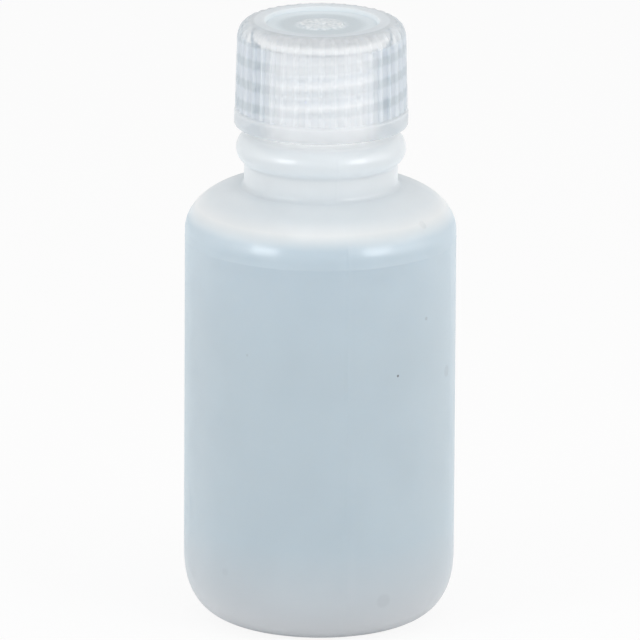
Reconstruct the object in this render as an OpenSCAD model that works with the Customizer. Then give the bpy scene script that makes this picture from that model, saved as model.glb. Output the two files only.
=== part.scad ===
// Small narrow-mouth reagent bottle: a blow-moulded bottle, a ribbed screw cap and the
// plug seal that the cap carries. Millimetres, +Z up, origin under the middle of the base.

/* [Body] */
// Outside diameter of the body
body_d = 39; // [32:0.5:60]
// Height of the straight wall, between the heel and the shoulder
straight_h = 47.4; // [30:0.1:90]
// Wall of the body and the shoulder
wall_t = 1.1; // [0.8:0.05:1.6]
// Height over which the heel turns in to the base
heel_h = 10; // [6:0.1:14]
// How far the heel turns in, seen from below
heel_in = 8.3; // [5:0.1:9]
// Squareness of the heel curve: 2 is an ellipse, more is squarer
heel_power = 2.45; // [2:0.05:3]
// Rise of the shoulder from the straight wall to the neck
shoulder_rise = 6.68; // [4:0.01:10]
// How far inside the neck's wall the shoulder's curve has its centre
shoulder_tuck = 1.3; // [1.2:0.05:2]

/* [Base] */
// Width of the ring that the bottle stands on
ring_w = 1.7; // [1:0.1:3]
// Height of the pushed-up middle of the base
push_up = 0.9; // [0.4:0.05:1.6]
// Thickness of the base
base_t = 1.5; // [1:0.05:2.5]

/* [Neck] */
// Diameter over the crest of the neck's thread
thread_d = 19.7; // [16:0.1:26]
// Height of the neck's ridge above its root
thread_depth = 1.1; // [0.9:0.05:1.3]
// Rise of the thread in one turn
thread_lead = 3.175; // [2.9:0.005:3.8]
// Wall between the mouth and the root of the thread
finish_wall = 2.55; // [1.6:0.05:3.2]
// Height from the top of the bead to the lip
finish_h = 13.75; // [11:0.05:20]
// How far the neck below the bead stands outside the thread
neck_step = 1.18; // [0.6:0.01:2]
// Wall of the neck below the bead
neck_wall = 1.2; // [0.9:0.05:1.6]
// Height of the plain neck between the shoulder and the bead
neck_h = 3.37; // [2:0.01:6]
// Radius of the fillet between the shoulder and the neck
neck_fillet = 0.8; // [0.4:0.05:1.5]
// How far the bead stands out of the neck
bead_out = 1.17; // [0.6:0.01:2]
// Height of the bead
bead_h = 4.3; // [3:0.05:5]

/* [Cap] */
// Wall of the cap's skirt at the plain band
skirt_t = 2.33; // [1.6:0.01:3]
// Height of the plain band at the cap's lower edge
band_h = 2.25; // [1.5:0.05:3]
// How much narrower in radius the cap is at its top
cap_draft = 0.25; // [0:0.01:0.4]
// Radius of the cap's top edge
cap_edge_r = 2.4; // [1.2:0.05:2.8]
// Radius of the cap's lower edge
lower_edge_r = 0.4; // [0.2:0.05:0.6]
// Number of grip ribs around the cap
rib_count = 40; // [24:1:60]
// Width of one grip rib
rib_w = 0.5; // [0.3:0.05:0.8]
// Height of the grip ribs
rib_h = 0.32; // [0.15:0.01:0.5]
// Step from the plain band in to the crest of the ribs
band_step = 0.1; // [0.05:0.01:0.3]
// Thickness of the cap's top under its recess
top_t = 1.15; // [0.8:0.05:1.8]
// Width of the cap's top rim, from the rounded edge in to the recess
rim_w = 1.5; // [0.8:0.05:3]
// Depth of the recess in the cap's top
recess_depth = 0.65; // [0.3:0.05:1]
// Diameter of the raised disc in the middle of the recess
boss_d = 6.4; // [4:0.1:10]
// Height of the raised disc
boss_h = 0.2; // [0.1:0.05:0.3]
// Gap between the bead and the cap's lower edge
cap_gap = 1.25; // [0.6:0.05:2.5]

/* [Seal] */
// Thickness of the seal's disc
seal_t = 0.9; // [0.6:0.05:1.5]
// Length of the seal's plug, below the lip
plug_l = 3; // [1.5:0.1:5]
// Wall of the seal's plug
plug_t = 0.7; // [0.5:0.05:1]

/* [Fits] */
// Radial gap between each thread's crest and the root that it faces
thread_clear = 0.3; // [0.2:0.05:0.4]
// Radial gap between the plug and the mouth
plug_clear = 0.06; // [0.02:0.01:0.1]
// Gap above and below the seal's disc
seat_gap = 0.05; // [0.02:0.01:0.1]
// Radial gap between the seal's disc and the cap's bore
seal_side_gap = 0.35; // [0.2:0.05:0.5]

/* [Hidden] */
$fn = 96;

// Steps along a curved outline, and ring sections along one turn of a thread
curve_steps = 16;
thread_steps = 48;
// Turn over which a ridge grows out of its wall, in degrees
thread_fade = 45;
// How far a ridge or a rib reaches into the wall that it stands on
bury = 0.25;
// Widths of the ridges at the wall and at the crest, each a share of the lead
foot_share = 0.63;
neck_crest_share = 0.22;
cap_crest_share = 0.28;
ridge_foot = foot_share * thread_lead;
neck_ridge_crest = neck_crest_share * thread_lead;
cap_ridge_crest = cap_crest_share * thread_lead;
// Direction in which each ridge stands out of its wall
outwards = 1;
inwards = -1;

// Radii of the body and the base
body_r = body_d / 2;
foot_r = body_r - heel_in;
ring_in_r = foot_r - ring_w;
pan_r = ring_in_r - push_up;

// Radii of the neck
thread_r = thread_d / 2;
root_r = thread_r - thread_depth;
mouth_r = root_r - finish_wall;
neck_r = thread_r + neck_step;
neck_in_r = neck_r - neck_wall;

// Shoulder: a quarter ellipse about a centre just inside the neck's wall
shoulder_c = neck_r - shoulder_tuck;
shoulder_a = body_r - shoulder_c;
shoulder_end = acos((neck_r + neck_fillet - shoulder_c) / shoulder_a);
shoulder_in_end = acos(max(0, neck_in_r - shoulder_c) / (shoulder_a - wall_t));

// Bead: half an ellipse about a centre inside the neck's wall
bead_tuck_share = 0.625;
bead_tuck = bead_tuck_share * bead_out;
bead_c = neck_r - bead_tuck;
bead_a = bead_out + bead_tuck;
bead_start = -acos(bead_tuck / bead_a);

// Heights, from the base up
shoulder_z = heel_h + straight_h;
neck_z = shoulder_z + shoulder_rise;
bead_z = neck_z + neck_h + bead_h / 2;
bead_top = bead_z + bead_h / 2;
collar_h = 0.9;
collar_top = bead_top + collar_h;
lip_z = bead_top + finish_h;
lip_bevel = 0.4;
// The bore of the mouth starts above a sloping throat
throat_z = bead_z;
throat_slope = 0.95;
bore_z = throat_z + throat_slope * (neck_in_r - mouth_r);

// Heights of the cap and the seal
cap_z = bead_top + cap_gap;
seal_z = lip_z + seat_gap;
ceiling_z = seal_z + seal_t + seat_gap;
recess_z = ceiling_z + top_t;
cap_top = recess_z + recess_depth;
edge_z = cap_top - cap_edge_r;

// Radii of the cap
bore_r = thread_r + thread_clear;
cap_crest_r = root_r + thread_clear;
band_r = bore_r + skirt_t;
rib_r = band_r - band_step;
rib_top_r = rib_r - cap_draft;
recess_r = rib_top_r - cap_edge_r - rim_w;
recess_draft = 0.3;
gate_r = 0.6;
gate_h = 0.2;
lead_in = 0.5;

// Radii of the seal, and the small ring in the cap that keeps it there
seal_r = bore_r - seal_side_gap;
plug_r = mouth_r - plug_clear;
plug_bevel = 0.3;
keeper_bite = 0.3;
keeper_r = seal_r - keeper_bite;
keeper_h = 0.4;
keeper_gap = 0.25;
keeper_z = seal_z - keeper_gap - keeper_h;

// Each ridge winds on the same helix, and the cap's lies half a lead above the neck's.
// The middle of a ridge stays this far inside the ends of the wall that it stands on.
neck_run_in = 2.15;
neck_run_out = 2.1;
cap_run_in = 1.4;
cap_run_out = 1.25;
neck_thread_low = cap_z + neck_run_in;
neck_thread_high = lip_z - neck_run_out;
cap_thread_low = cap_z + cap_run_in;
cap_thread_high = keeper_z - cap_run_out;
// Where on the round the neck's ridge starts, in degrees
thread_turn = 0;

// Points on an ellipse, or on a squarer curve when power is above 2
function curve(c_r, c_z, a, b, from, to, power = 2) = [
    for (i = [0 : curve_steps])
        let (t = from + (to - from) * i / curve_steps)
            [c_r + a * pow(abs(cos(t)), 2 / power) * sign(cos(t)),
             c_z + b * pow(abs(sin(t)), 2 / power) * sign(sin(t))]
];

// Outside of the bottle, from the middle of the base up to the lip
bottle_outside = concat(
    [[0, push_up], [pan_r, push_up], [ring_in_r, 0]],
    curve(foot_r, heel_h, heel_in, heel_h, -90, 0, heel_power),
    curve(shoulder_c, shoulder_z, shoulder_a, shoulder_rise, 0, shoulder_end),
    curve(neck_r + neck_fillet, neck_fillet_z(), neck_fillet, neck_fillet, -90, -180),
    curve(bead_c, bead_z, bead_a, bead_h / 2, bead_start, 90),
    [[root_r, collar_top], [root_r, lip_z - lip_bevel], [root_r - lip_bevel, lip_z]]
);

// Inside of the bottle, from the lip down to the middle of the base
bottle_inside = concat(
    [[mouth_r + lip_bevel, lip_z], [mouth_r, lip_z - lip_bevel], [mouth_r, bore_z]],
    [[neck_in_r, throat_z]],
    curve(shoulder_c, shoulder_z, shoulder_a - wall_t, shoulder_rise - wall_t,
        shoulder_in_end, 0),
    curve(foot_r, heel_h, heel_in - wall_t, heel_h - base_t, 0, -90, heel_power),
    [[ring_in_r, base_t], [pan_r, push_up + base_t], [0, push_up + base_t]]
);

// Centre height of the fillet, on the shoulder's curve
function neck_fillet_z() = shoulder_z + shoulder_rise * sin(shoulder_end) + neck_fillet;

// Cross-section of a ridge at turn t: two points in the wall and two at the crest
function ridge_ring(t, wall_r, depth, way, foot, crest, low, span) =
    let (
        fade = min(1, t / thread_fade, (span - t) / thread_fade),
        foot_at = wall_r - way * bury,
        crest_at = wall_r + way * (depth * fade - bury / 2 * (1 - fade)),
        angle = helix_angle(low) + t,
        z = low + thread_lead * t / 360
    )
    [
        [foot_at * cos(angle), foot_at * sin(angle), z - foot / 2],
        [crest_at * cos(angle), crest_at * sin(angle), z - crest / 2],
        [crest_at * cos(angle), crest_at * sin(angle), z + crest / 2],
        [foot_at * cos(angle), foot_at * sin(angle), z + foot / 2]
    ];

// Where on the round a helix passes a height. A ridge set half a lead higher, as the
// cap's is, passes it half a turn earlier.
function helix_angle(z) = thread_turn + 360 * (z - neck_thread_low) / thread_lead;

// A thread's ridge from one height to another, standing out of a round wall
module ridge(wall_r, depth, way, foot, crest, low, high, turned) {
    span = 360 * (high - low) / thread_lead;
    steps = ceil(thread_steps * span / 360);
    rings = [
        for (i = [0 : steps])
            ridge_ring(span * i / steps, wall_r, depth, way, foot, crest, low, span)
    ];
    corners = len(rings[0]);
    sides = [
        for (i = [0 : steps - 1], j = [0 : corners - 1])
            let (a = i * corners + j, b = i * corners + (j + 1) % corners)
                each [[a, b, b + corners], [a, b + corners, a + corners]]
    ];
    start = [for (j = [corners - 1 : -1 : 0]) j];
    end = [for (j = [0 : corners - 1]) steps * corners + j];
    shell = concat([start], sides, [end]);
    flipped = [for (face = shell) [for (j = [len(face) - 1 : -1 : 0]) face[j]]];
    rotate([0, 0, turned])
        polyhedron([for (ring = rings) each ring], way == outwards ? shell : flipped);
}

// Outside of the cap from the band up, as wide as its ribs or as its grooves
module cap_envelope(inset) {
    rotate_extrude()
        polygon(concat(
            [[0, cap_z + band_h], [rib_r - inset, cap_z + band_h]],
            curve(rib_top_r - cap_edge_r, edge_z, cap_edge_r - inset, cap_edge_r, 0, 90),
            [[0, cap_top]]
        ));
}

// Narrow upright ribs that run up into the rounded top edge
module grip_ribs() {
    reach = rib_h + bury;
    intersection() {
        cap_envelope(0);
        for (i = [0 : rib_count - 1])
            rotate([0, 0, i * 360 / rib_count])
                translate([rib_top_r - reach, -rib_w / 2, cap_z + band_h / 2])
                    cube([reach + cap_draft, rib_w, edge_z + cap_edge_r - cap_z - band_h / 2]);
    }
}

// Plain band around the cap's lower edge
module cap_band() {
    rotate_extrude()
        polygon(concat(
            [[0, cap_z]],
            curve(band_r - lower_edge_r, cap_z + lower_edge_r, lower_edge_r, lower_edge_r, -90, 0),
            [[band_r, cap_z + band_h], [0, cap_z + band_h]]
        ));
}

// Space inside the cap: the bore, its lead-in and the ring that keeps the seal
module cap_inside() {
    below = 1;
    rotate_extrude()
        polygon([
            [0, cap_z - below],
            [bore_r + lead_in, cap_z - below],
            [bore_r + lead_in, cap_z],
            [bore_r, cap_z + lead_in],
            [bore_r, keeper_z - keeper_h],
            [keeper_r, keeper_z],
            [keeper_r, keeper_z + keeper_h / 2],
            [bore_r, keeper_z + keeper_h],
            [bore_r, ceiling_z],
            [0, ceiling_z]
        ]);
}

// Shallow recess in the cap's top, with a raised disc and a small gate mark in it
module top_recess() {
    above = 1;
    rotate_extrude()
        polygon([
            [0, recess_z + boss_h + gate_h],
            [gate_r, recess_z + boss_h + gate_h],
            [gate_r, recess_z + boss_h],
            [boss_d / 2 - boss_h, recess_z + boss_h],
            [boss_d / 2, recess_z],
            [recess_r - recess_draft, recess_z],
            [recess_r, cap_top],
            [recess_r, cap_top + above],
            [0, cap_top + above]
        ]);
}

// Blow-moulded bottle with its bead and threaded neck
module bottle() {
    color([0.76, 0.81, 0.85]) {
        rotate_extrude()
            polygon(concat(bottle_outside, bottle_inside));
        ridge(root_r, thread_depth, outwards, ridge_foot, neck_ridge_crest,
            neck_thread_low, neck_thread_high, 0);
    }
}

// Moulded screw cap with grip ribs outside and a thread inside
module cap() {
    color([0.88, 0.91, 0.93]) {
        difference() {
            union() {
                cap_band();
                cap_envelope(rib_h);
                grip_ribs();
            }
            cap_inside();
            top_recess();
        }
        ridge(bore_r, thread_depth, inwards, ridge_foot, cap_ridge_crest,
            cap_thread_low, cap_thread_high, 180);
    }
}

// Seal that stays in the cap: a disc over the lip and a plug inside the mouth
module seal_insert() {
    color([0.93, 0.94, 0.94])
        rotate_extrude()
            polygon([
                [0, seal_z],
                [plug_r - plug_t, seal_z],
                [plug_r - plug_t, lip_z - plug_l],
                [plug_r - plug_bevel, lip_z - plug_l],
                [plug_r, lip_z - plug_l + plug_bevel],
                [plug_r, seal_z],
                [seal_r, seal_z],
                [seal_r, seal_z + seal_t],
                [0, seal_z + seal_t]
            ]);
}

bottle();
cap();
seal_insert();
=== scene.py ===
"""Looks of a small narrow-mouth reagent bottle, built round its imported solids."""

import math

import bpy
from mathutils import Matrix, Vector


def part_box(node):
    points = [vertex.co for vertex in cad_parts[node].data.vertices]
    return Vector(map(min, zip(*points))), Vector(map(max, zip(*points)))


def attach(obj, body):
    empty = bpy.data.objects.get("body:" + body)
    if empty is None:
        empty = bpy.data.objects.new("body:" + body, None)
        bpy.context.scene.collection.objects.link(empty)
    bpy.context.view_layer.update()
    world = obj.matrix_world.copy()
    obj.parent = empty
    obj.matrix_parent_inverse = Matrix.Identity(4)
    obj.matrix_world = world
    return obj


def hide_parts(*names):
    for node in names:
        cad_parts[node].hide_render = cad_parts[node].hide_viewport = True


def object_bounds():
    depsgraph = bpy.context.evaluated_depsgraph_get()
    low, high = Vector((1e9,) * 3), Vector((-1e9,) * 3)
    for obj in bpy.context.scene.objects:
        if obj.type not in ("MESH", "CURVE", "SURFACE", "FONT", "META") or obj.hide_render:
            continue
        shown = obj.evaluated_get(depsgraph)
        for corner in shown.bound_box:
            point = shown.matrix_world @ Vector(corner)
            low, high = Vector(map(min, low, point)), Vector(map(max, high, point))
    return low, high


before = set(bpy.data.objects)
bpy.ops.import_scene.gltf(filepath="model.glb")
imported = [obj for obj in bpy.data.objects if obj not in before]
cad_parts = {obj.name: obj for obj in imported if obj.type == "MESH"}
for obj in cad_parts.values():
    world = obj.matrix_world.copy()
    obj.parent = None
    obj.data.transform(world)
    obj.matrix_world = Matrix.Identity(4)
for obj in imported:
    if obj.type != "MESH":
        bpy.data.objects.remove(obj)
CAD_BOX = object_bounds()

bl_info = {
    "name": "Reagent bottle",
    "version": (1, 0, 0),
    "blender": (4, 5, 0),
    "location": "3D View > Sidebar > Bottle",
    "description": "Translucent reagent bottle with a ribbed screw cap and a plug seal",
    "category": "Object",
}

MM = 0.001
BOTTLE_HIGH = Vector(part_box("bottle")[1])
CAP_LOW, CAP_HIGH = (Vector(corner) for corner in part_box("cap"))
SEAL_LOW, SEAL_HIGH = (Vector(corner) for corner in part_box("seal_insert"))

# Sizes and limits that more than one piece follows.
MERGE_GAP = 0.002 * MM
SMOOTH_ANGLE = math.radians(32)
SEAL_DISC_T = 0.9 * MM
KEEPER_Z = SEAL_HIGH.z - SEAL_DISC_T - 0.65 * MM
NECK_THREAD_Z = CAP_LOW.z + 2.15 * MM
THREAD_FOOT_SHARE = 0.63  # The width of the thread's foot, as a share of its lead.


def length(label, note, default_mm, low_mm=0.0, high_mm=200.0):
    """A length property in metres, written in millimetres."""
    return bpy.props.FloatProperty(
        name=label,
        description=note,
        default=default_mm * MM,
        min=low_mm * MM,
        max=high_mm * MM,
        precision=5,
        unit="LENGTH",
    )


def share(label, note, default):
    """A share property, from 0 to 1."""
    return bpy.props.FloatProperty(
        name=label, description=note, default=default, min=0.0, max=1.0, subtype="FACTOR"
    )


def angle(label, note, default_deg):
    """An angle property, written in degrees."""
    return bpy.props.FloatProperty(
        name=label, description=note, default=math.radians(default_deg), subtype="ANGLE"
    )


def colour(label, note, default):
    """A colour property without alpha."""
    return bpy.props.FloatVectorProperty(
        name=label, description=note, default=default, size=3, min=0.0, max=1.0, subtype="COLOR"
    )


def power(label, note, default):
    """A lamp's power in watts."""
    return bpy.props.FloatProperty(
        name=label, description=note, default=default, min=0.0, unit="POWER"
    )


class BottleSettings(bpy.types.PropertyGroup):
    """Sizes and colours of the blow-moulded bottle."""

    heel_h: length("Heel height", "Height over which the heel turns in", 10)
    heel_in: length("Heel reach", "How far the heel turns in, seen from below", 8.3)
    heel_power: bpy.props.FloatProperty(
        name="Heel squareness", description="2 is an ellipse, more is squarer", default=2.45
    )
    straight_h: length("Straight wall", "Height between the heel and the shoulder", 47.4)
    shoulder_rise: length("Shoulder rise", "Height of the shoulder's curve", 6.68)
    shoulder_tuck: length("Shoulder tuck", "Curve centre inside the neck's wall", 1.3)
    wall: length("Wall", "Wall of the body and shoulder", 1.1)
    base: length("Base", "Thickness of the base", 1.5)
    ring_w: length("Standing ring", "Width of the ring that it stands on", 1.7)
    push_up: length("Push-up", "Height of the middle of the base", 0.9)
    neck_h: length("Neck height", "Plain neck between shoulder and bead", 3.37)
    neck_step: length("Neck step", "How far the neck stands outside the thread", 1.18)
    neck_wall: length("Neck wall", "Wall of the neck below the bead", 1.2)
    neck_fillet: length("Neck fillet", "Fillet between shoulder and neck", 0.8)
    bead_out: length("Bead reach", "How far the bead stands out of the neck", 1.17)
    bead_h: length("Bead height", "Height of the bead", 4.3)
    thread_r: length("Thread radius", "Radius over the neck's thread", 9.85)
    thread_depth: length("Thread depth", "Height of the thread's ridge", 1.1)
    lead: length("Thread lead", "Rise of the thread in one turn", 3.175)
    finish_wall: length("Finish wall", "Wall between the mouth and the thread's root", 2.55)
    lip_round: length("Lip edge", "Rounding of the lip's edges", 0.4)
    seam_h: length("Parting line height", "How far the parting line stands out", 0.03)
    seam_w: length("Parting line width", "Half the width of the parting line", 0.14)
    seam_turn: angle("Parting line place", "Where the parting line lies on the round", -78)
    base_tint: colour("Base colour", "Colour at the heel", (0.54, 0.57, 0.60))
    wall_tint: colour("Wall colour", "Colour of the thin wall", (0.475, 0.565, 0.63))
    upper_tint: colour("Upper colour", "Colour below the shoulder", (0.495, 0.595, 0.675))
    # Painted highlight: a brighter band of colour where the shoulder bends, standing in for the
    # overhead lamp's reflection there.
    bend_painted_highlight: colour("Bend colour", "Colour where the shoulder bends", (0.775, 0.83, 0.865))
    shoulder_tint: colour("Shoulder colour", "Colour on the shoulder", (0.69, 0.765, 0.825))
    neck_tint: colour("Neck colour", "Colour where the wall is thicker", (0.745, 0.80, 0.84))
    # The bead's colour holds painted shade: it is darker than the neck to offset the overhead lamp
    # on the bead's upward face.
    bead_tint_and_painted_shade: colour("Bead colour", "Colour of the bead", (0.655, 0.70, 0.73))
    finish_tint: colour("Finish colour", "Colour of the thread under the cap", (0.83, 0.858, 0.88))
    scatter: share("Scatter", "Share of light that scatters inside the wall", 1.0)
    scatter_r: length("Scatter reach", "How far light scatters inside the wall", 3)
    roughness: share("Roughness", "Roughness of the satin surface", 0.34)
    polish: share("Polish", "Strength of the crisp highlights", 0.5)
    polish_rough: share("Polish roughness", "Softness of the crisp highlights", 0.1)
    gloss_low: share("Gloss fades at", "How far the wall has turned where its gloss fades", 0.45)
    gloss_high: share("Gloss ends at", "How far the wall has turned where its gloss ends", 0.78)


class CapSettings(bpy.types.PropertyGroup):
    """Sizes and colours of the screw cap and its seal."""

    band_r: length("Band radius", "Radius of the plain band at the lower edge", 12.48)
    band_h: length("Band height", "Height of the plain band", 2.25)
    draft: length("Draft", "How much narrower the cap is at its top", 0.25)
    edge_r: length("Top edge", "Radius of the rounded top edge", 2.4)
    lower_edge_r: length("Lower edge", "Radius of the lower edge", 0.4)
    band_step: length("Band step", "Step from the band in to the ribs", 0.1)
    rib_h: length("Rib height", "Height of the grip ribs", 0.32)
    rim_w: length("Rim width", "Flat rim between the edge and the recess", 1.5)
    recess_depth: length("Recess depth", "Depth of the recess in the top", 0.65)
    top_t: length("Top thickness", "Thickness under the recess", 1.15)
    boss_r: length("Boss radius", "Radius of the raised disc in the recess", 3.2)
    boss_h: length("Boss height", "Height of the raised disc", 0.2)
    thread_clear: length("Thread clearance", "Gap between crest and root", 0.3)
    ribs: bpy.props.IntProperty(name="Ribs", description="Number of grip ribs", default=40, min=8)
    thin_tint: colour("Thin colour", "Colour between the turns of the thread", (0.46, 0.52, 0.57))
    thick_tint: colour("Thick colour", "Colour over the thread", (0.555, 0.615, 0.67))
    band_tint: colour("Band colour", "Colour of the plain lower band", (0.54, 0.59, 0.63))
    edge_tint: colour("Edge colour", "Colour of the rounded top edge", (0.50, 0.55, 0.59))
    rim_tint: colour("Rim colour", "Colour of the flat rim", (0.62, 0.67, 0.71))
    recess_tint: colour("Recess colour", "Colour at the edge of the recess", (0.66, 0.73, 0.77))
    middle_tint: colour("Middle colour", "Colour in the middle of the recess", (0.54, 0.61, 0.65))
    seal_tint: colour("Seal colour", "Colour of the seal's plastic", (0.90, 0.93, 0.95))
    solid: share("Solidity", "How much the cap hides where it is seen straight on", 0.27)
    solid_edge: share("Edge solidity", "How much the cap hides where it turns away", 0.83)
    solid_bend: share("Bend solidity", "How much the rounded top edge hides", 0.38)
    solid_top: share("Top solidity", "How much the cap's thick top hides", 0.7)
    turn_low: share("Turn low", "Tilt where the cap starts to look milky", 0.13)
    turn_high: share("Turn high", "Tilt where the cap is at its milkiest", 0.37)
    bend_low: share("Bend turn low", "The same at the rounded top edge, where it starts", 0.3)
    bend_high: share("Bend turn high", "The same at the rounded top edge, at its milkiest", 0.85)
    pass_light: share("Passed light", "Share of light that goes on through the cap", 1.0)
    scatter: share("Scatter", "Share of light that scatters inside the cap", 1.0)
    scatter_r: length("Scatter reach", "How far light scatters inside the cap", 2)
    roughness: share("Roughness", "Roughness of the cap's surface", 0.42)
    seal_roughness: share("Seal roughness", "Roughness of the seal's surface", 0.35)


class StageSettings(bpy.types.PropertyGroup):
    """Camera and lamps."""

    elevation: angle("Elevation", "Height of the view above the horizontal", 15.5)
    roll: angle("Roll", "Turn of the camera about its own axis", 0.32)
    distance: bpy.props.FloatProperty(
        name="Distance", description="From the camera to the bottle", default=1.9, unit="LENGTH"
    )
    view_w: length("View width", "Width of the view at the bottle", 92.1)
    aim_x: length("Aim sideways", "Middle of the view from the axis", -0.02, -50)
    aim_z: length("Aim height", "Middle of the view above the base", 43.8)
    world: share("World", "Brightness of the surroundings", 0.6)
    floor_glow: share("Floor", "How little of a shadow the pale floor keeps", 0.89)
    front_w: power("Front lamps", "Power of each soft lamp at the front corners", 0.98)
    left_w: power("Left lamp", "Power of the soft lamp at the left side", 0.93)
    right_w: power("Right lamp", "Power of the soft lamp at the right side", 1.35)
    side_tint: colour("Side light", "Colour of the lamps at the sides", (1.0, 0.93, 0.88))
    top_w: power("Top lamp", "Power of the lamp overhead", 0.55)


# Mesh tools: an outline is drawn point by point, spun round the axis and cleaned.


def arc(c_r, c_z, a, b, start, end, steps, squareness=2.0):
    """Points on an ellipse, or on a squarer curve above a squareness of 2, angles in degrees."""
    points = []
    for i in range(steps + 1):
        t = math.radians(start + (end - start) * i / steps)
        cos, sin = math.cos(t), math.sin(t)
        points.append(
            (
                c_r + a * math.copysign(abs(cos) ** (2 / squareness), cos),
                c_z + b * math.copysign(abs(sin) ** (2 / squareness), sin),
            )
        )
    return points


def round_corner(corner, before, after, radius, steps=4):
    """Points that round a corner of an outline off between its two neighbours."""
    corner, before, after = Vector(corner), Vector(before), Vector(after)
    start = corner + (before - corner).normalized() * radius
    end = corner + (after - corner).normalized() * radius
    points = []
    for i in range(steps + 1):
        t = i / steps
        points.append(tuple((1 - t) ** 2 * start + 2 * t * (1 - t) * corner + t * t * end))
    return points


def deselect_all():
    """Leaves edit mode and selects nothing."""
    if bpy.context.object and bpy.context.object.mode != "OBJECT":
        bpy.ops.object.mode_set(mode="OBJECT")
    bpy.ops.object.select_all(action="DESELECT")


def draw_outline(name, outline):
    """A chain of edges in the XZ plane, drawn by extruding one point after another."""
    deselect_all()
    bpy.ops.mesh.primitive_plane_add(size=MM)
    piece = bpy.context.object
    piece.name = piece.data.name = name
    bpy.ops.object.mode_set(mode="EDIT")
    bpy.ops.mesh.merge(type="CENTER")
    bpy.ops.transform.translate(value=(outline[0][0], 0, outline[0][1]))
    for here, there in zip(outline, outline[1:]):
        step = (there[0] - here[0], 0, there[1] - here[1])
        bpy.ops.mesh.extrude_region_move(TRANSFORM_OT_translate={"value": step})
    return piece


def clean():
    """Merges doubles and turns all faces outwards, in edit mode."""
    bpy.ops.mesh.select_all(action="SELECT")
    bpy.ops.mesh.remove_doubles(threshold=MERGE_GAP)
    bpy.ops.mesh.normals_make_consistent(inside=False)


def lathe(name, outline, steps):
    """A closed body of revolution about the Z axis."""
    piece = draw_outline(name, outline)
    bpy.ops.mesh.select_all(action="SELECT")
    bpy.ops.mesh.spin(steps=steps, angle=math.tau, center=(0, 0, 0), axis=(0, 0, 1))
    clean()
    bpy.ops.object.mode_set(mode="OBJECT")
    return piece


def pick(piece, test, kind="VERT"):
    """Selects in edit mode the vertices, or the edges, whose points pass a test."""
    bpy.ops.object.mode_set(mode="EDIT")
    bpy.ops.mesh.select_mode(type=kind)
    bpy.ops.mesh.select_all(action="DESELECT")
    bpy.ops.object.mode_set(mode="OBJECT")
    mesh = piece.data
    passed = [test(v) for v in mesh.vertices]
    if kind == "VERT":
        for v, ok in zip(mesh.vertices, passed):
            v.select = ok
    else:
        for e in mesh.edges:
            e.select = passed[e.vertices[0]] and passed[e.vertices[1]]
    bpy.ops.object.mode_set(mode="EDIT")


def widen(factor):
    """Moves what is selected away from the Z axis by a factor."""
    bpy.ops.transform.resize(value=(factor, factor, 1), center_override=(0, 0, 0))


def add_ridge(piece, wall_r, depth, foot, crest, low, high, turn, lead, steps=96):
    """Joins a thread's ridge to a round wall: outwards with a depth above 0, else inwards."""
    way = math.copysign(1, depth)
    bury, knee_up, crest_round = 0.25 * MM, 0.04 * MM, 0.1 * MM
    foot_r, knee_r, crest_r = wall_r - way * bury, wall_r + depth * 0.86, wall_r + depth
    span = math.tau * (high - low) / lead
    fade = math.radians(50)
    section = [
        (foot_r, low - foot / 2),
        (knee_r, low - crest / 2 - knee_up),
        (crest_r, low - crest / 2 + crest_round),
        (crest_r, low + crest / 2 - crest_round),
        (knee_r, low + crest / 2 + knee_up),
        (foot_r, low + foot / 2),
    ]
    ridge = draw_outline(piece.name + "_ridge", section)
    bpy.ops.mesh.select_all(action="SELECT")
    bpy.ops.mesh.edge_face_add()
    bpy.ops.mesh.delete(type="ONLY_FACE")
    bpy.ops.object.mode_set(mode="OBJECT")
    rounds = math.ceil(span / math.tau)
    screw = ridge.modifiers.new("helix", "SCREW")
    screw.angle = span / rounds
    screw.screw_offset = (high - low) / rounds
    screw.iterations = rounds
    screw.steps = screw.render_steps = math.ceil(steps * span / rounds / math.tau)
    bpy.ops.object.modifier_apply(modifier=screw.name)
    thin_ends(ridge, wall_r, depth, bury, low, span, fade, lead)
    bpy.ops.object.mode_set(mode="EDIT")
    bpy.ops.mesh.select_mode(type="VERT")
    bpy.ops.mesh.select_all(action="DESELECT")
    bpy.ops.mesh.select_non_manifold()
    bpy.ops.mesh.edge_face_add()
    clean()
    bpy.ops.mesh.select_all(action="SELECT")
    bpy.ops.transform.rotate(value=-turn, orient_axis="Z", center_override=(0, 0, 0))
    bpy.ops.object.mode_set(mode="OBJECT")
    unite(piece, ridge)


def thin_ends(ridge, wall_r, depth, bury, low, span, fade, lead):
    """Sinks both ends of a ridge into its wall, a little more at each step."""
    for v in ridge.data.vertices:
        flat = math.hypot(v.co.x, v.co.y)
        around = math.atan2(v.co.y, v.co.x)
        rise = math.tau * (v.co.z - low) / lead
        t = around + math.tau * round((rise - around) / math.tau)
        left = max(0.0, min(1.0, t / fade, (span - t) / fade))
        out = (flat - wall_r) / depth
        if out > 0 and left < 1:
            eased = left * left * (3 - 2 * left)
            to = wall_r + depth * out * eased - math.copysign(bury / 2, depth) * (1 - eased)
            v.co.x *= to / flat
            v.co.y *= to / flat


def unite(piece, other):
    """Joins another closed mesh to a piece and removes it."""
    deselect_all()
    bpy.context.view_layer.objects.active = piece
    piece.select_set(True)
    union = piece.modifiers.new("unite", "BOOLEAN")
    union.operation = "UNION"
    union.solver = "EXACT"
    union.object = other
    bpy.ops.object.modifier_apply(modifier=union.name)
    bpy.data.objects.remove(other, do_unlink=True)


def finish_piece(piece, material, body, slot, *nodes):
    """Smooths a piece, gives it its material and ties it to its body."""
    deselect_all()
    bpy.context.view_layer.objects.active = piece
    piece.select_set(True)
    bpy.ops.object.shade_smooth_by_angle(angle=SMOOTH_ANGLE)
    piece.data.materials.clear()
    piece.data.materials.append(material)
    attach(piece, body)
    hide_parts(*nodes)


# Materials


def new_material(name):
    """An empty node material."""
    material = bpy.data.materials.new(name)
    material.use_nodes = True
    material.node_tree.nodes.clear()
    return material, material.node_tree


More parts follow.
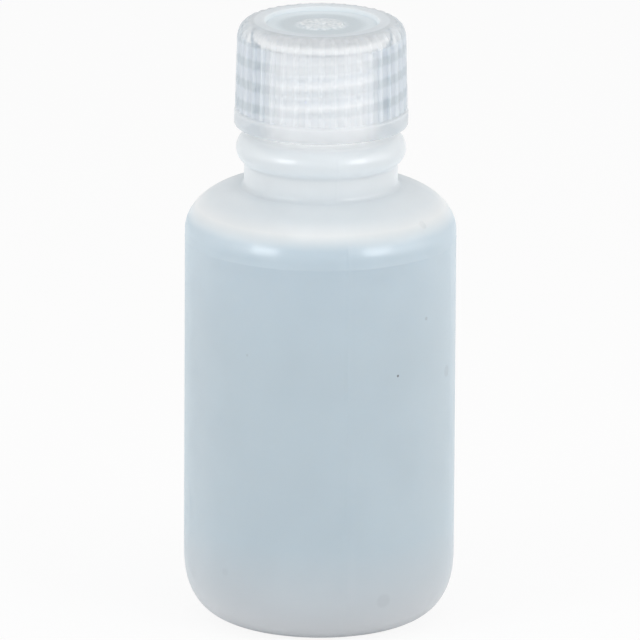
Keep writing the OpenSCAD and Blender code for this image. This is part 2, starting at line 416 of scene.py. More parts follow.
def fill(tree, node, inputs):
    """Fills a node's inputs with values, or links them to sockets."""
    for key, value in inputs.items():
        socket = node.inputs[key]
        if isinstance(key, str):
            socket = next(i for i in node.inputs if i.name == key and i.enabled)
        if isinstance(value, bpy.types.NodeSocket):
            tree.links.new(value, socket)
        else:
            socket.default_value = value


def add(tree, kind, inputs=None, **options):
    """Adds a node, sets its options and fills its inputs."""
    node = tree.nodes.new(kind if kind.startswith("Node") else "ShaderNode" + kind)
    for option, value in options.items():
        setattr(node, option, value)
    fill(tree, node, inputs or {})
    return node


def add_group(tree, name, build, inputs):
    """Adds a shared node group, which is built when it is first used."""
    node = tree.nodes.new("ShaderNodeGroup")
    node.node_tree = bpy.data.node_groups.get(name) or build()
    fill(tree, node, inputs)
    return node


def calc(tree, operation, *values):
    """One step of arithmetic."""
    return add(tree, "Math", dict(enumerate(values)), operation=operation).outputs[0]


def ramp(tree, value, low, high, to_low=0.0, to_high=1.0):
    """A soft step from one value to another while the input goes from low to high."""
    inputs = {
        "Value": value,
        "From Min": low,
        "From Max": high,
        "To Min": to_low,
        "To Max": to_high,
    }
    return add(tree, "MapRange", inputs, interpolation_type="SMOOTHSTEP").outputs["Result"]


def opaque(tint):
    """A colour with its alpha; a socket stays as it is."""
    return tint if isinstance(tint, bpy.types.NodeSocket) else (*tint, 1)


def blend(tree, factor, first, second):
    """A colour between two colours."""
    inputs = {"Factor": factor, "A": opaque(first), "B": opaque(second)}
    node = add(tree, "Mix", inputs, data_type="RGBA")
    return next(o for o in node.outputs if o.enabled)


def between(tree, factor, first, second):
    """A number between two numbers."""
    return add(tree, "Mix", {"Factor": factor, "A": first, "B": second}).outputs["Result"]


def new_group(name, inputs, outputs):
    """A shader node group with named inputs and outputs."""
    group = bpy.data.node_groups.new(name, "ShaderNodeTree")
    for label, kind, default in inputs:
        socket = group.interface.new_socket(
            label, in_out="INPUT", socket_type="NodeSocket" + kind
        )
        socket.default_value = default
    for label, kind in outputs:
        group.interface.new_socket(label, in_out="OUTPUT", socket_type="NodeSocket" + kind)
    return group, add(group, "NodeGroupInput"), add(group, "NodeGroupOutput")


# What the noises give as the least and the most, and what the grain does to the surface.
CLOUD_RANGE = (0.3, 0.7)
GRAIN_RANGE = (0.25, 0.75)
GRAIN_GLOSS = (0.85, 1.15)
GRAIN_HEIGHT = 0.02


def moulded_wall():
    """Node group: faint clouds in a moulded wall, with its uneven gloss and its fine waves."""
    group, given, out = new_group(
        "moulded_wall",
        (
            ("Colour", "Color", (1, 1, 1, 1)),
            ("Clouds", "Float", 0.03),
            ("Cloud size", "Float", 0.012),
            ("Roughness", "Float", 0.3),
            ("Grain size", "Float", 0.0004),
        ),
        (("Colour", "Color"), ("Roughness", "Float"), ("Height", "Float")),
    )
    place = add(group, "TexCoord").outputs["Object"]
    scale = calc(group, "DIVIDE", 1.0, given.outputs["Cloud size"])
    clouds = add(group, "TexNoise", {"Vector": place, "Scale": scale, "Detail": 2.0})
    scale = calc(group, "DIVIDE", 1.0, given.outputs["Grain size"])
    grain = add(group, "TexNoise", {"Vector": place, "Scale": scale, "Detail": 1.0})
    cloudy = ramp(group, clouds.outputs[0], *CLOUD_RANGE)
    shade = calc(group, "MULTIPLY", cloudy, given.outputs["Clouds"])
    shaded = {0: given.outputs["Colour"], "Scale": calc(group, "SUBTRACT", 1.0, shade)}
    tint = add(group, "VectorMath", shaded, operation="SCALE").outputs[0]
    uneven = ramp(group, grain.outputs[0], *GRAIN_RANGE, *GRAIN_GLOSS)
    gloss = calc(group, "MULTIPLY", given.outputs["Roughness"], uneven)
    fine = calc(group, "MULTIPLY", grain.outputs[0], GRAIN_HEIGHT)
    waves = calc(group, "ADD", clouds.outputs[0], fine)
    group.links.new(tint, out.inputs["Colour"])
    group.links.new(gloss, out.inputs["Roughness"])
    group.links.new(waves, out.inputs["Height"])
    return group


SPOT_EDGE = (1.2, 0.7)  # Where a spot starts and where it is full, in radii.
SPOT_TINT = (0.12, 0.12, 0.14)


def spot_group():
    """Node group: 1 inside a small round spot, 0 outside it."""
    group, given, out = new_group(
        "spot",
        (("Place", "Vector", (0, 0, 0)), ("Size", "Float", 0.001)),
        (("Mask", "Float"),),
    )
    place = add(group, "TexCoord").outputs["Object"]
    gap = add(group, "VectorMath", {0: place, 1: given.outputs["Place"]}, operation="DISTANCE")
    part = calc(group, "DIVIDE", gap.outputs["Value"], given.outputs["Size"])
    group.links.new(ramp(group, part, *SPOT_EDGE), out.inputs["Mask"])
    return group


def add_wall(tree, tint, clouds, size, roughness):
    """Puts the moulded wall's group into a material."""
    inputs = {
        "Colour": opaque(tint),
        "Clouds": clouds,
        "Cloud size": size,
        "Roughness": roughness,
    }
    return add_group(tree, "moulded_wall", moulded_wall, inputs)


def add_shader(tree, tint, roughness, height, depth, look):
    """The plastic's surface; look gives its plain numbers by socket name."""
    relief = add(tree, "Bump", {"Strength": 1.0, "Distance": depth, "Height": height})
    inputs = {
        "Base Color": tint,
        "Roughness": roughness,
        "Normal": relief.outputs[0],
        "Subsurface Radius": (1.0, 1.0, 1.0),
    }
    shader = add(tree, "BsdfPrincipled", inputs | look)
    add(tree, "OutputMaterial", {"Surface": shader.outputs[0]})
    return shader


def fade_gloss(tree, shader, turned, low, high):
    """Takes the gloss away where the wall turns edge on."""
    glossy = ramp(tree, turned, low, high, 1.0, 0.0)
    for socket in ("Specular IOR Level", "Coat Weight"):
        full = shader.inputs[socket].default_value
        if full > 0:
            tree.links.new(calc(tree, "MULTIPLY", glossy, full), shader.inputs[socket])


def on_wall(azimuth, radius, height):
    """A point on a round wall: azimuth in degrees from the front to the right, sizes in mm."""
    a = math.radians(azimuth)
    return (radius * math.sin(a) * MM, -radius * math.cos(a) * MM, height * MM)


# Small faults in the wall: place, radius in mm, how dark, and how deep in waves.
WALL_SPOTS = (
    (on_wall(54, 17.98, 60.9), 0.62, 0.10, 1.8),
    (on_wall(34.9, 19.5, 40.0), 0.2, 0.85, 0.3),
    (on_wall(68.8, 19.5, 38.3), 0.9, 0.12, 0.0),
    (on_wall(51.1, 19.5, 47.5), 0.28, 0.25, 0.0),
    (on_wall(28.9, 19.3, 6.7), 1.1, 0.08, 0.0),
    (on_wall(-32.2, 19.5, 43.1), 0.2, 0.15, 0.0),
    (on_wall(-43.6, 19.5, 10.1), 0.6, 0.05, 0.0),
    (on_wall(-118, 19.5, 33.0), 0.13, 0.7, 0.2),
    (on_wall(150, 19.5, 21.0), 0.5, 0.06, 0.0),
    (on_wall(205, 19.5, 46.0), 0.2, 0.2, 0.0),
)


def bottle_material(s):
    """Milky plastic, thin and bluish in the body, whiter where the neck is thick, with a painted
    highlight at the shoulder's bend and painted shade on the bead.
    """
    material, tree = new_material("milky_polyethylene")
    place = add(tree, "TexCoord").outputs["Object"]
    z = add(tree, "SeparateXYZ", {0: place}).outputs["Z"]
    shoulder = (s.heel_h + s.straight_h) / MM
    # Heights in mm, and the colours there.
    stops = (
        (3, s.base_tint),
        (15, s.wall_tint),
        (shoulder - 15, s.wall_tint),
        (shoulder, s.upper_tint),
        (shoulder + 1.8, s.upper_tint),
        # Painted highlight: the bright band of colour at the shoulder's bend.
        (shoulder + 3.7, s.bend_painted_highlight),
        (shoulder + 5.2, s.shoulder_tint),
        (shoulder + 9.8, s.neck_tint),
        # The bead's stops: its colour, darkened as painted shade against the overhead lamp.
        (shoulder + 11.8, s.bead_tint_and_painted_shade),
        (shoulder + 14, s.bead_tint_and_painted_shade),
        (shoulder + 15, s.finish_tint),
    )
    by_height = add(tree, "ValToRGB", {"Fac": calc(tree, "DIVIDE", z, BOTTLE_HIGH.z)})
    elements = by_height.color_ramp.elements
    for _ in stops[len(elements) :]:
        elements.new(0.5)
    for element, (height, tint) in zip(elements, stops):
        element.position = height * MM / BOTTLE_HIGH.z
        element.color = (*tint, 1)
    tint = by_height.outputs["Color"]
    wall = add_wall(tree, tint, 0.03, 12 * MM, s.roughness)
    tint, height = wall.outputs["Colour"], wall.outputs["Height"]
    for spot, radius, dark, deep in WALL_SPOTS:
        inputs = {"Place": spot, "Size": radius * MM}
        mask = add_group(tree, "spot", spot_group, inputs).outputs["Mask"]
        tint = blend(tree, calc(tree, "MULTIPLY", mask, dark), tint, SPOT_TINT)
        if deep:
            height = calc(tree, "SUBTRACT", height, calc(tree, "MULTIPLY", mask, deep))
    look = {
        "IOR": 1.5,
        "Subsurface Weight": s.scatter,
        "Subsurface Scale": s.scatter_r,
        "Coat Weight": s.polish,
        "Coat Roughness": s.polish_rough,
    }
    shader = add_shader(tree, tint, wall.outputs["Roughness"], height, 0.05 * MM, look)
    turned = add(tree, "LayerWeight", {"Blend": 0.5}).outputs["Facing"]
    fade_gloss(tree, shader, turned, s.gloss_low, s.gloss_high)
    return material


# The cap's zones: how softly one turns into the next, and how its stipple stands out.
THREAD_BAND = (0.38, 0.2)  # Where a thread's band starts and is full, in turns from its middle.
SOFT = 0.2 * MM
SOFTER = 0.8 * MM
STIPPLE_SCALE = 1600.0
STIPPLE_TINT = (0.97, 0.98, 0.99)
STIPPLE_SHARE = 0.7
STIPPLE_HEIGHT = 8.0


def both(tree, first, second):
    """Two masks as one, which is 1 where both are 1."""
    return calc(tree, "MULTIPLY", first, second)


def smooth_way(tree, x, y, up, flat, rim_r):
    """The way the cap's wall faces, as if it had no ribs."""
    out = calc(tree, "MAXIMUM", calc(tree, "SUBTRACT", flat, rim_r), 0.0)
    out = calc(tree, "DIVIDE", out, calc(tree, "MAXIMUM", flat, 0.1 * MM))
    sides = [calc(tree, "MULTIPLY", side, out) for side in (x, y)]
    way = add(tree, "CombineXYZ", {0: sides[0], 1: sides[1], 2: up}).outputs[0]
    way = add(tree, "VectorMath", {0: way}, operation="NORMALIZE").outputs[0]
    turning = {"vector_type": "NORMAL", "convert_from": "OBJECT", "convert_to": "WORLD"}
    return add(tree, "VectorTransform", {"Vector": way}, **turning).outputs[0]


def cap_material(c, b, thread_z):
    """Half-clear plastic: clear seen straight on, milky where it turns away."""
    material, tree = new_material("cap_polypropylene")
    place = add(tree, "TexCoord").outputs["Object"]
    x, y, z = add(tree, "SeparateXYZ", {0: place}).outputs
    squares = [calc(tree, "MULTIPLY", side, side) for side in (x, y)]
    flat = calc(tree, "SQRT", calc(tree, "ADD", *squares))
    band_top = CAP_LOW.z + c.band_h
    edge_z = CAP_HIGH.z - c.edge_r
    rim_r = c.band_r - c.band_step - c.draft - c.edge_r
    recess_r = rim_r - c.rim_w

    # Masks for the neck's thread behind the wall, and for the parts of the cap.
    rise = calc(tree, "DIVIDE", calc(tree, "SUBTRACT", z, thread_z), b.lead)
    turned = calc(tree, "DIVIDE", calc(tree, "ARCTAN2", y, x), math.tau)
    turns = calc(tree, "SUBTRACT", rise, turned)
    over_thread = ramp(tree, calc(tree, "PINGPONG", turns, 0.5), *THREAD_BAND)
    over_band = ramp(tree, z, band_top, band_top + 0.5 * MM)
    near_edge = ramp(tree, z, edge_z, edge_z + SOFTER)
    in_rim = ramp(tree, flat, rim_r + 0.3 * MM, rim_r - SOFT)
    at_top = ramp(tree, z, CAP_HIGH.z - 0.4 * MM, CAP_HIGH.z - 0.1 * MM)
    on_rim = both(tree, in_rim, at_top)
    within = ramp(tree, flat, recess_r + SOFT, recess_r - SOFT)
    in_recess = both(tree, within, ramp(tree, z, SEAL_HIGH.z, SEAL_HIGH.z + SOFTER))
    to_middle = ramp(tree, flat, recess_r - 1.2 * MM, recess_r - 2.8 * MM)
    in_disc = ramp(tree, flat, c.boss_r + 0.9 * MM, c.boss_r - SOFT)
    in_boss = both(tree, in_recess, in_disc)

    tint = blend(tree, over_thread, c.thin_tint, c.thick_tint)
    tint = blend(tree, over_band, c.band_tint, tint)
    tint = blend(tree, near_edge, tint, c.edge_tint)
    tint = blend(tree, on_rim, tint, c.rim_tint)
    floor_tint = blend(tree, to_middle, c.recess_tint, c.middle_tint)
    tint = blend(tree, in_recess, tint, floor_tint)
    wall = add_wall(tree, tint, 0.02, 6 * MM, c.roughness)
    cells = add(tree, "TexVoronoi", {"Vector": place, "Scale": STIPPLE_SCALE}).outputs["Distance"]
    bumps = both(tree, calc(tree, "SUBTRACT", 1.0, cells), in_boss)
    bright = calc(tree, "MULTIPLY", bumps, STIPPLE_SHARE)
    tint = blend(tree, bright, wall.outputs["Colour"], STIPPLE_TINT)
    raised = calc(tree, "MULTIPLY", bumps, STIPPLE_HEIGHT)
    height = calc(tree, "ADD", wall.outputs["Height"], raised)
    look = {
        "IOR": 1.4,
        "Subsurface Weight": c.scatter,
        "Subsurface Scale": c.scatter_r,
    }
    shader = add_shader(tree, tint, wall.outputs["Roughness"], height, 0.02 * MM, look)

    # How much the wall hides. Lamps shine through it, and its inner faces hide nothing.
    up = calc(tree, "MAXIMUM", calc(tree, "SUBTRACT", z, edge_z), 0.0)
    way = smooth_way(tree, x, y, up, flat, rim_r)
    facing = add(tree, "LayerWeight", {"Blend": 0.5, "Normal": way}).outputs["Facing"]
    low = between(tree, near_edge, c.turn_low, c.bend_low)
    high = between(tree, near_edge, c.turn_high, c.bend_high)
    least = between(tree, near_edge, c.solid, c.solid_bend)
    least = between(tree, calc(tree, "MAXIMUM", on_rim, in_recess), least, c.solid_top)
    solid = ramp(tree, facing, low, high, least, c.solid_edge)
    outer = calc(tree, "SUBTRACT", 1.0, add(tree, "NewGeometry").outputs["Backfacing"])
    path = add(tree, "LightPath").outputs
    light = calc(tree, "MAXIMUM", path["Is Shadow Ray"], path["Is Diffuse Ray"])
    held = calc(tree, "SUBTRACT", 1.0, calc(tree, "MULTIPLY", light, c.pass_light))
    hidden = both(tree, both(tree, solid, outer), held)
    tree.links.new(hidden, shader.inputs["Alpha"])
    return material


def seal_material(c):
    """Soft white plastic of the plug seal."""
    material, tree = new_material("seal_polyethylene")
    wall = add_wall(tree, c.seal_tint, 0.03, 6 * MM, c.seal_roughness)
    tint, roughness, height = wall.outputs
    look = {"IOR": 1.5, "Subsurface Weight": c.scatter, "Subsurface Scale": c.scatter_r}
    add_shader(tree, tint, roughness, height, 0.02 * MM, look)
    return material


# Pieces


def bottle_outline(s):
    """The bottle's closed outline: outside from the base up, then inside back down."""
    body_r = BOTTLE_HIGH.x
    foot_r = body_r - s.heel_in
    ring_r = foot_r - s.ring_w
    pan_r = ring_r - s.push_up
    root_r = s.thread_r - s.thread_depth
    mouth_r = root_r - s.finish_wall
    neck_r = s.thread_r + s.neck_step
    neck_in_r = neck_r - s.neck_wall
    shoulder_z = s.heel_h + s.straight_h
    centre = neck_r - s.shoulder_tuck
    reach = body_r - centre
    fillet = s.neck_fillet
    end = math.degrees(math.acos((neck_r + fillet - centre) / reach))
    end_in = math.degrees(math.acos(max(0, neck_in_r - centre) / (reach - s.wall)))
    fillet_z = shoulder_z + s.shoulder_rise * math.sin(math.radians(end)) + fillet
    bead_z = shoulder_z + s.shoulder_rise + s.neck_h + s.bead_h / 2
    bead_tuck = 0.625 * s.bead_out
    bead_a = s.bead_out + bead_tuck
    bead_start = -math.degrees(math.acos(bead_tuck / bead_a))
    bead_top = bead_z + s.bead_h / 2
    bead = arc(neck_r - bead_tuck, bead_z, bead_a, s.bead_h / 2, bead_start, 90, 20)
    lip_z = BOTTLE_HIGH.z
    base_round, bead_round, root_round, throat_round = 0.3 * MM, 0.5 * MM, 0.4 * MM, 0.8 * MM
    line_z = shoulder_z - MM
    line_out, line_half, line_foot = 0.025 * MM, 0.05 * MM, 0.15 * MM
    slope_top = (root_r, bead_top + 0.9 * MM)
    clear = 2 * MM
    outside = [
        (0, s.push_up),
        (pan_r * 0.5, s.push_up),
        (pan_r - base_round, s.push_up),
        *round_corner((pan_r, s.push_up), (pan_r - MM, s.push_up), (ring_r, 0), base_round),
        *round_corner((ring_r, 0), (pan_r, s.push_up), (foot_r, 0), base_round),
        *arc(foot_r, s.heel_h, s.heel_in, s.heel_h, -90, 0, 22, s.heel_power),
        *((body_r, s.heel_h + (line_z - s.heel_h) * i / 12) for i in range(1, 12)),
        (body_r, line_z - line_foot),
        (body_r + line_out, line_z - line_half),
        (body_r + line_out, line_z + line_half),
        (body_r, line_z + line_foot),
        *arc(centre, shoulder_z, reach, s.shoulder_rise, 0, end, 24),
        *arc(neck_r + fillet, fillet_z, fillet, fillet, -90, -180, 6)[1:],
        *round_corner(bead[0], (neck_r, 0), bead[3], bead_round),
        *bead[3:],
        *round_corner(slope_top, (neck_r - bead_tuck, bead_top), (root_r, lip_z), root_round),
        *((root_r, bead_top + clear + (lip_z - bead_top - 2 * clear) * i / 8) for i in range(9)),
        *round_corner((root_r, lip_z), (root_r, 0), (mouth_r, lip_z), s.lip_round),
    ]
    throat_z = bead_z
    bore_z = throat_z + 0.95 * (neck_in_r - mouth_r)
    inside = [
        *round_corner((mouth_r, lip_z), (root_r, lip_z), (mouth_r, 0), s.lip_round),
        *((mouth_r, lip_z - clear + (bore_z - lip_z + 3 * MM) * i / 6) for i in range(7)),
        *round_corner((mouth_r, bore_z), (mouth_r, lip_z), (neck_in_r, throat_z), throat_round),
        *round_corner((neck_in_r, throat_z), (mouth_r, bore_z), (neck_in_r, 0), throat_round),
        *arc(centre, shoulder_z, reach - s.wall, s.shoulder_rise - s.wall, end_in, 0, 20),
        *((body_r - s.wall, shoulder_z - s.straight_h * i / 12) for i in range(1, 12)),
        *arc(foot_r, s.heel_h, s.heel_in - s.wall, s.heel_h - s.base, 0, -90, 20, s.heel_power),
        (ring_r, s.base),
        (pan_r, s.push_up + s.base),
        (pan_r * 0.5, s.push_up + s.base),
        (0, s.push_up + s.base),
    ]
    return outside + inside


def add_parting_line(piece, s):
    """Raises the fine line where the two halves of the mould met."""
    turns = (s.seam_turn, s.seam_turn + math.pi)
    least_r, top = 9 * MM, BOTTLE_HIGH.z - 13.5 * MM
    least_slope, slack = 0.02, 1e-9

    def on_line(v):
        flat = math.hypot(v.co.x, v.co.y)
        if flat < least_r or v.co.z > top:
            return False
        outside = (v.normal.x * v.co.x + v.normal.y * v.co.y) / flat > least_slope
        near = max(math.cos(math.atan2(v.co.y, v.co.x) - t) for t in turns)
        return outside and near * flat > flat - slack

    pick(piece, on_line, "EDGE")
    bpy.ops.mesh.bevel(offset=s.seam_w, segments=2, profile=0.5, affect="EDGES")
    bpy.ops.object.mode_set(mode="OBJECT")
    pick(piece, on_line)
    widen(1 + s.seam_h / BOTTLE_HIGH.x)
    bpy.ops.object.mode_set(mode="OBJECT")


class OBJECT_OT_bottle(bpy.types.Operator):
    """Builds the blow-moulded bottle with its bead, threaded neck and parting line"""

    bl_idname = "object.build_bottle"
    bl_label = "Bottle"

    def execute(self, context):
        s = context.scene.bottle_settings
        piece = lathe("bottle_shell", bottle_outline(s), 180)
        add_parting_line(piece, s)
        high = BOTTLE_HIGH.z - 2.1 * MM
        root_r = s.thread_r - s.thread_depth
        foot, crest = THREAD_FOOT_SHARE * s.lead, 0.22 * s.lead
        add_ridge(piece, root_r, s.thread_depth, foot, crest, NECK_THREAD_Z, high, 0, s.lead)
        finish_piece(piece, bottle_material(s), "bottle_body", "bottle_hdpe", "bottle")
        return {"FINISHED"}


def cap_outline(c, b):
    """The cap's closed outline: outside from the lower edge up, then inside back down."""
    bore_r = b.thread_r + c.thread_clear
    low, top = CAP_LOW.z, CAP_HIGH.z
    band_r = c.band_r
    rib_r = band_r - c.band_step
    groove_r = rib_r - c.rib_h
    top_r = groove_r - c.draft
    edge_z = top - c.edge_r
    flat_r = rib_r - c.draft - c.edge_r
    recess_r = flat_r - c.rim_w
    recess_z = top - c.recess_depth
    ceiling = recess_z - c.top_t
    band_top = low + c.band_h
    step_top = band_top + 0.25 * MM
    ribs_low = band_top + 0.6 * MM
    keeper_r = bore_r - 0.65 * MM
    keeper_half, keeper_flat = 0.4 * MM, 0.2 * MM
    chamfer = 0.5 * MM
    recess_foot = recess_r - 0.3 * MM
    boss_z = recess_z + c.boss_h
    boss_top_r = c.boss_r - c.boss_h
    nib_r, nib_top_r, nib_z = 0.65 * MM, 0.6 * MM, boss_z + 0.2 * MM
    edge, step_edge, boss_edge, nib_edge = 0.2 * MM, 0.15 * MM, 0.1 * MM, 0.08 * MM
    le = c.lower_edge_r
    outside = [
        *arc(band_r - le, low + le, le, le, -90, 0, 5),
        (band_r, low + 1.1 * MM),
        *round_corner((band_r, band_top), (band_r, low), (groove_r, step_top), edge),
        *round_corner((groove_r, step_top), (band_r, band_top), (groove_r, top), step_edge),
        *(
            (groove_r + (top_r - groove_r) * i / 8, ribs_low + (edge_z - ribs_low) * i / 8)
            for i in range(9)
        ),
        *arc(flat_r, edge_z, top_r - flat_r, c.edge_r, 0, 90, 14)[1:],
        ((flat_r + recess_r) / 2, top),
        *round_corner((recess_r, top), (flat_r, top), (recess_foot, recess_z), edge),
        *round_corner((recess_foot, recess_z), (recess_r, top), (0, recess_z), edge),
        (recess_r * 0.6, recess_z),
        *round_corner(
            (c.boss_r, recess_z), (recess_r, recess_z), (boss_top_r, boss_z), boss_edge
        ),
        *round_corner((boss_top_r, boss_z), (c.boss_r, recess_z), (0, boss_z), boss_edge),
        (c.boss_r * 0.6, boss_z),
        *round_corner((nib_r, boss_z), (c.boss_r, boss_z), (nib_top_r, nib_z), nib_edge),
        *round_corner((nib_top_r, nib_z), (nib_r, boss_z), (0, nib_z), nib_edge),
        (0, nib_z),
    ]
    inside = [
        (0, ceiling),
        (bore_r * 0.35, ceiling),
        (bore_r * 0.7, ceiling),
        *round_corner((bore_r, ceiling), (0, ceiling), (bore_r, 0), 0.3 * MM),
        (bore_r, KEEPER_Z + keeper_half),
        (keeper_r, KEEPER_Z + keeper_flat),
        (keeper_r, KEEPER_Z),
        (bore_r, KEEPER_Z - keeper_half),
        *((bore_r, KEEPER_Z - MM + (low + 2 * MM - KEEPER_Z) * i / 8) for i in range(9)),
        (bore_r, low + chamfer),
        *round_corner((bore_r + chamfer, low), (bore_r, low + chamfer), (band_r, low), step_edge),
        (band_r - le, low),
    ]
    return outside + inside


RIB_STEPS = 8  # Steps round the cap from one rib to the next.


def raise_ribs(piece, c):
    """Pulls the grip ribs out of the cap's side and its rounded edge."""
    foot = CAP_LOW.z + c.band_h + 0.3 * MM
    least_r, slack = 10.2 * MM, 0.2
    pitch = math.tau / c.ribs
    for offset, height in ((0, 1.0), (1, 0.72)):

        def on_rib(v, offset=offset):
            if v.co.z < foot or math.hypot(v.co.x, v.co.y) < least_r:
                return False
            if v.normal.x * v.co.x + v.normal.y * v.co.y < 0:
                return False
            around = (math.atan2(v.co.y, v.co.x) / pitch) % 1.0 * RIB_STEPS
            return min(abs(around - offset), abs(around - RIB_STEPS + offset)) < slack

        pick(piece, on_rib)
        widen(1 + height * c.rib_h / (c.band_r - c.rib_h))
        bpy.ops.object.mode_set(mode="OBJECT")


class OBJECT_OT_cap(bpy.types.Operator):
    """Builds the screw cap with its ribs, recess and inner thread"""

    bl_idname = "object.build_cap"
    bl_label = "Cap"

    def execute(self, context):
        c = context.scene.cap_settings
        b = context.scene.bottle_settings
        piece = lathe("cap_shell", cap_outline(c, b), c.ribs * RIB_STEPS)
        raise_ribs(piece, c)
        bore_r = b.thread_r + c.thread_clear
        low, high = CAP_LOW.z + 1.4 * MM, KEEPER_Z - 1.25 * MM
        turn = math.tau * (low - NECK_THREAD_Z) / b.lead + math.pi
        foot, crest = THREAD_FOOT_SHARE * b.lead, 0.28 * b.lead
        add_ridge(piece, bore_r, -b.thread_depth, foot, crest, low, high, turn, b.lead)
        material = cap_material(c, b, low - b.lead * turn / math.tau)
        finish_piece(piece, material, "cap_body", "cap_pp", "cap")
        return {"FINISHED"}


def seal_outline(c, b):
    """The seal's closed outline: the plug's inside, its outside, and the disc."""
    mouth_r = b.thread_r - b.thread_depth - b.finish_wall
    plug_r = mouth_r - 0.06 * MM
    plug_in = plug_r - 0.7 * MM
    disc_r = b.thread_r + c.thread_clear - 0.35 * MM
    low, high = SEAL_LOW.z, SEAL_HIGH.z
    under = high - SEAL_DISC_T
    lead_in, edge = 0.3 * MM, 0.12 * MM
    tip, side = (plug_r - lead_in, low), (plug_r, low + lead_in)
    return [
        (0, under),
        (plug_in * 0.5, under),
        *round_corner((plug_in, under), (0, under), (plug_in, low), 0.3 * MM),
        *round_corner((plug_in, low), (plug_in, under), tip, edge),
        *round_corner(tip, (plug_in, low), side, edge),
        *round_corner(side, tip, (plug_r, under), edge),
        (plug_r, under),
        *round_corner((disc_r, under), (plug_r, under), (disc_r, high), edge),
        *round_corner((disc_r, high), (disc_r, under), (0, high), edge),
        (disc_r * 0.5, high),
        (0, high),
    ]


class OBJECT_OT_seal(bpy.types.Operator):
    """Builds the plug seal that the cap carries"""

    bl_idname = "object.build_seal"
    bl_label = "Seal"

    def execute(self, context):
        c = context.scene.cap_settings
        b = context.scene.bottle_settings
        piece = lathe("seal_disc", seal_outline(c, b), 128)
        finish_piece(piece, seal_material(c), "seal_body", "seal_ldpe", "seal_insert")
        return {"FINISHED"}


# Stage


# Lamps: bearing and height in degrees, distance in metres, and size.
FRONT_LAMPS = (49, 17, 0.6, (0.24, 0.25))
SIDE_LAMPS = (80, 12, 0.8, (0.6, 0.7))
TOP_LAMP = (0, 80, 0.7, (0.5, 0.5))
WHITE = (1, 1, 1)


def around(azimuth, elevation, distance, aim):
    """A point at a bearing (0 is the front, 90 the right), height angle and distance."""
    a, e = math.radians(azimuth), math.radians(elevation)
    return Vector(aim) + distance * Vector(
        (math.sin(a) * math.cos(e), -math.cos(a) * math.cos(e), math.sin(e))
    )


def add_lamp(name, spot, side, aim, watts, tint=WHITE):
    """A soft rectangular lamp that looks at a point, at its bearing times side, 1 or -1."""
    azimuth, elevation, distance, size = spot
    lamp = bpy.data.lights.new(name, "AREA")
    lamp.shape = "RECTANGLE"
    lamp.size, lamp.size_y = size
    lamp.energy = watts
    lamp.color = tint
    lamp_object = bpy.data.objects.new(name, lamp)
    bpy.context.collection.objects.link(lamp_object)
    place = around(azimuth * side, elevation, distance, aim)
    lamp_object.location = place
    lamp_object.rotation_euler = (Vector(aim) - place).to_track_quat("-Z", "Y").to_euler()


def seen_plainly(tree):
    """1 where the camera, a reflection or clear plastic looks, else 0."""
    path = add(tree, "LightPath").outputs
    seen = calc(tree, "MAXIMUM", path["Is Glossy Ray"], path["Is Transmission Ray"])
    return calc(tree, "MAXIMUM", path["Is Camera Ray"], seen)


FLOOR_TINT = (0.9, 0.9, 0.9)


def floor_material(glow_share):
    """A pale floor that looks white and keeps a faint shadow."""
    material, tree = new_material("pale_floor")
    paint = add(tree, "BsdfDiffuse", {"Color": opaque(FLOOR_TINT)})
    glow = add(tree, "Emission", {"Strength": 1.0})
    amount = calc(tree, "MULTIPLY", seen_plainly(tree), glow_share)
    mix = add(tree, "MixShader", {0: amount, 1: paint.outputs[0], 2: glow.outputs[0]})
    add(tree, "OutputMaterial", {"Surface": mix.outputs[0]})
    return material


def surroundings(strength):
    """Soft light from all sides, in front of a white background."""
    world = bpy.data.worlds.new("surroundings")
    world.use_nodes = True
    tree = world.node_tree
    tree.nodes.clear()
    light, white = (
        add(tree, "Background", {"Color": opaque(WHITE), "Strength": amount}).outputs[0]
        for amount in (strength, 1.0)
    )
    mix = add(tree, "MixShader", {0: seen_plainly(tree), 1: light, 2: white})
    add(tree, "OutputWorld", {"Surface": mix.outputs[0]})
    return world


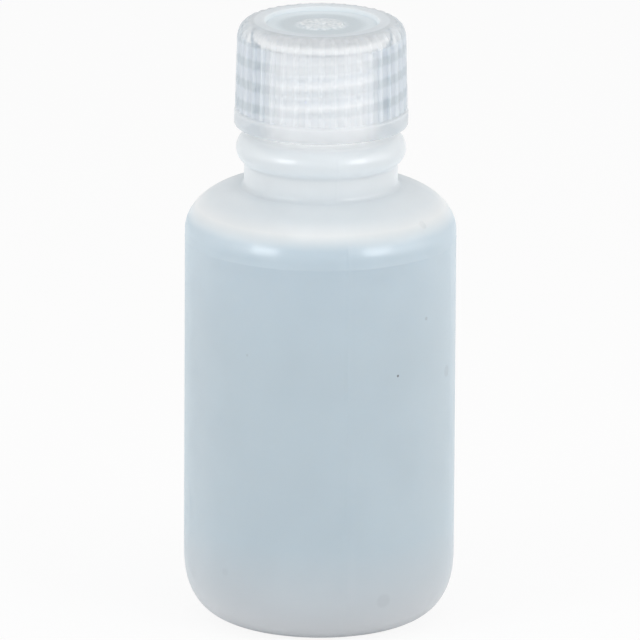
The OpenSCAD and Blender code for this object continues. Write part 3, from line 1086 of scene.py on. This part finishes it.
class OBJECT_OT_stage(bpy.types.Operator):
    """Builds the floor, the lamps, the surroundings and the camera"""

    bl_idname = "object.build_stage"
    bl_label = "Stage"

    def execute(self, context):
        s = context.scene.stage_settings
        middle = (0, 0, (CAD_BOX[0][2] + CAD_BOX[1][2]) / 2)
        deselect_all()
        bpy.ops.mesh.primitive_plane_add(size=4, location=(0, 0, 0))
        floor = context.object
        floor.name = "floor"
        floor.data.materials.append(floor_material(s.floor_glow))
        context.scene.world = surroundings(s.world)
        for side, word, side_w in ((-1, "left", s.left_w), (1, "right", s.right_w)):
            add_lamp("front_lamp_" + word, FRONT_LAMPS, side, middle, s.front_w)
            add_lamp("side_lamp_" + word, SIDE_LAMPS, side, middle, side_w, s.side_tint)
        add_lamp("top_lamp", TOP_LAMP, 1, middle, s.top_w)

        aim = Vector((s.aim_x, 0, s.aim_z))
        lens = bpy.data.cameras.new("camera")
        lens.sensor_width = 36
        lens.lens = lens.sensor_width * s.distance / s.view_w
        camera = bpy.data.objects.new("camera", lens)
        context.collection.objects.link(camera)
        camera.location = around(0, math.degrees(s.elevation), s.distance, aim)
        look = (aim - camera.location).to_track_quat("-Z", "Y").to_matrix().to_4x4()
        camera.rotation_euler = (look @ Matrix.Rotation(s.roll, 4, "Z")).to_euler()
        context.scene.camera = camera
        context.scene.view_settings.view_transform = "Standard"
        return {"FINISHED"}


class VIEW3D_PT_bottle(bpy.types.Panel):
    """Lists the builders in the sidebar"""

    bl_label = "Bottle"
    bl_space_type = "VIEW_3D"
    bl_region_type = "UI"
    bl_category = "Bottle"

    def draw(self, context):
        for build in BUILDERS:
            self.layout.operator(build.bl_idname)


SETTINGS = {
    "bottle_settings": BottleSettings,
    "cap_settings": CapSettings,
    "stage_settings": StageSettings,
}
BUILDERS = (OBJECT_OT_bottle, OBJECT_OT_cap, OBJECT_OT_seal, OBJECT_OT_stage)


def register():
    """Registers the settings, the builders and the panel."""
    for kind in (*SETTINGS.values(), *BUILDERS, VIEW3D_PT_bottle):
        bpy.utils.register_class(kind)
    for name, kind in SETTINGS.items():
        setattr(bpy.types.Scene, name, bpy.props.PointerProperty(type=kind))


def unregister():
    """Removes what register added."""
    for name in SETTINGS:
        delattr(bpy.types.Scene, name)
    for kind in (VIEW3D_PT_bottle, *reversed(BUILDERS), *reversed(SETTINGS.values())):
        bpy.utils.unregister_class(kind)


def main():
    register()
    bpy.ops.object.build_bottle()
    bpy.ops.object.build_cap()
    bpy.ops.object.build_seal()
    bpy.ops.object.build_stage()


if __name__ == "__main__":
    main()
